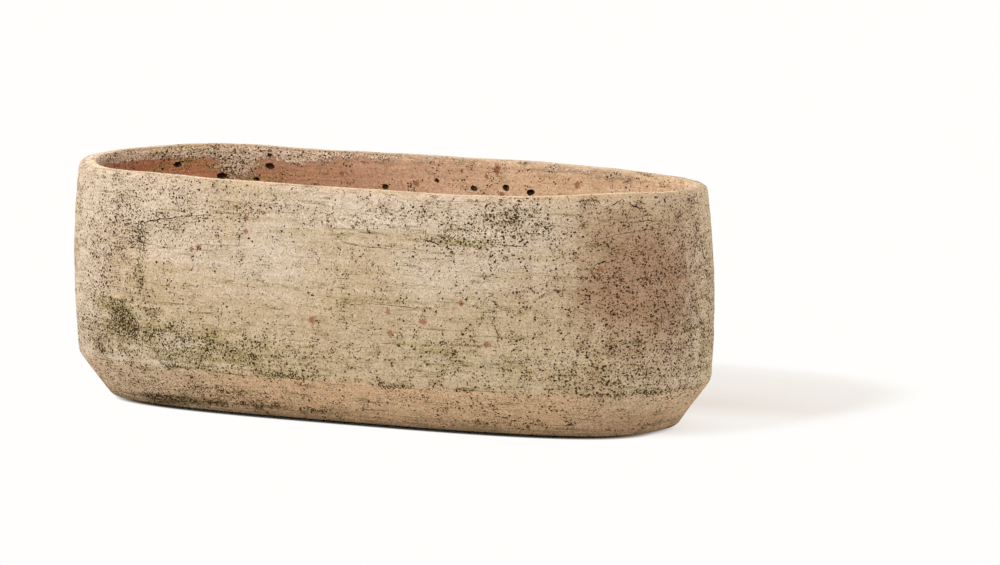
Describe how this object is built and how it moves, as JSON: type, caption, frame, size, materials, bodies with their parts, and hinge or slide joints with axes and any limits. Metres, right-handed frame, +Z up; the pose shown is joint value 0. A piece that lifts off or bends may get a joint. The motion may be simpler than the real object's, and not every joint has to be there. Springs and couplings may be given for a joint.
{
  "type": "oval trough planter",
  "caption": "Long oval trough planter of aged fired clay, open at the top, with drain holes, pull-out rubber drain plugs and rubber floor pads.",
  "frame": {"origin": "on the floor under the middle of the pot", "axes": "+X along the pot's long way, +Y across it towards the rear, +Z up through the open top"},
  "size_m": [0.6, 0.235, 0.2141],
  "materials": {
    "fired_clay": "matt, aged, unglazed",
    "plug_rubber": "matt",
    "pad_rubber": "matt"
  },
  "bodies": {
    "pot": {"pot_body": "fired_clay", "foot_pad_front_left": "pad_rubber", "foot_pad_front_right": "pad_rubber", "foot_pad_rear_left": "pad_rubber", "foot_pad_rear_right": "pad_rubber"},
    "plug_left": {"drain_plug_left": "plug_rubber"},
    "plug_right": {"drain_plug_right": "plug_rubber"}
  },
  "joints": [
    {"name": "drain_plug_left_pull", "type": "slide", "parent": "pot", "child": "plug_left", "axis": [0, 0, 1], "range_m": [0, 0.22]},
    {"name": "drain_plug_right_pull", "type": "slide", "parent": "pot", "child": "plug_right", "axis": [0, 0, 1], "range_m": [0, 0.22]}
  ]
}
